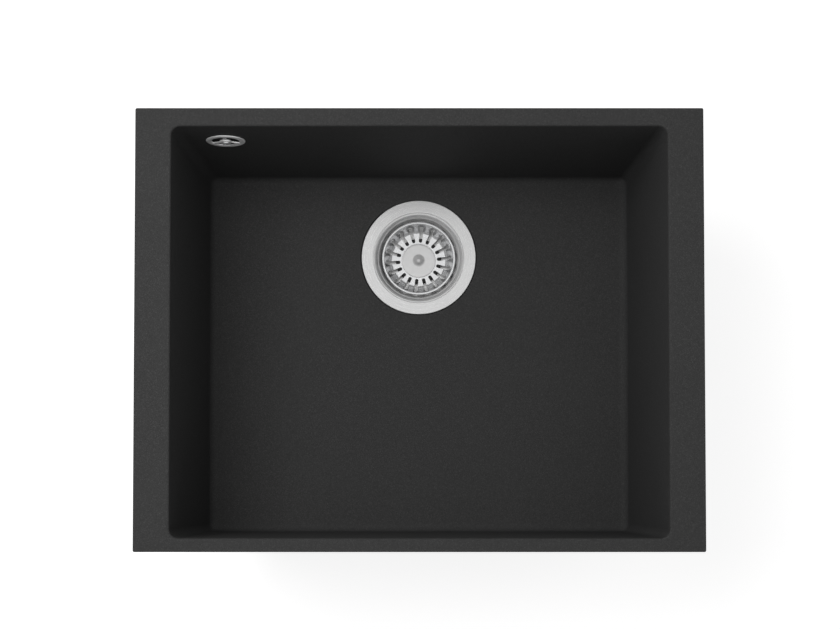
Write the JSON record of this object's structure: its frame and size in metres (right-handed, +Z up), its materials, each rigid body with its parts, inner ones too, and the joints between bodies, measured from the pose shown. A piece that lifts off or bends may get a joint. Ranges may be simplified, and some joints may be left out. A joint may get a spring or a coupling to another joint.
{
  "type": "undermount kitchen sink",
  "caption": "Undermount kitchen sink with a deep granite-composite bowl, flat rim, basket strainer with lift-out stopper basket, trap outlet and rear overflow with hose.",
  "frame": {"origin": "middle of the rim's top face, which is the face that meets the worktop's underside", "axes": "+Z up out of the bowl, +Y to the back, where the drain and the overflow are, +X to the right seen from the front"},
  "size_m": [0.5, 0.4041, 0.3223],
  "materials": {
    "granite_composite": "matt black with a fine speckle",
    "brushed_steel": "brushed in circles",
    "polished_steel": "polished",
    "brass": "turned and knurled",
    "rubber": "moulded, matt",
    "plastic": "moulded, fine satin",
    "hose_plastic": "ribbed, satin grey"
  },
  "bodies": {
    "sink": {"bowl": "granite_composite", "rim_insert_1": "brass", "rim_insert_2": "brass", "rim_insert_3": "brass", "rim_insert_4": "brass", "rim_insert_5": "brass", "rim_insert_6": "brass", "strainer_cup": "brushed_steel", "cup_seal": "rubber", "waste_body": "plastic", "waste_outlet": "plastic", "bolt_bridge": "plastic", "body_seal": "rubber", "centre_bolt": "polished_steel", "bolt_insert": "brass", "outlet_nut": "plastic", "outlet_washer": "rubber", "tailpiece": "plastic", "overflow_rosette": "polished_steel", "overflow_screw": "polished_steel", "overflow_seal": "rubber", "overflow_elbow": "plastic", "hose_clamp_upper": "polished_steel", "hose_clamp_lower": "polished_steel", "overflow_hose": "hose_plastic"},
    "stopper": {"stopper_seal": "rubber", "basket_hub": "plastic", "stem": "polished_steel", "knob": "brushed_steel"},
    "basket": {"basket": "polished_steel", "centre_plate": "brushed_steel"}
  },
  "joints": [
    {"name": "basket_lift", "type": "slide", "parent": "sink", "child": "stopper", "axis": [0, 0, 1], "range_m": [0, 0.24]},
    {"name": "basket_turn", "type": "hinge", "parent": "stopper", "child": "basket", "pos_m": [0, 0.091, -0.21], "axis": [0, 0, 1], "continuous": true}
  ]
}
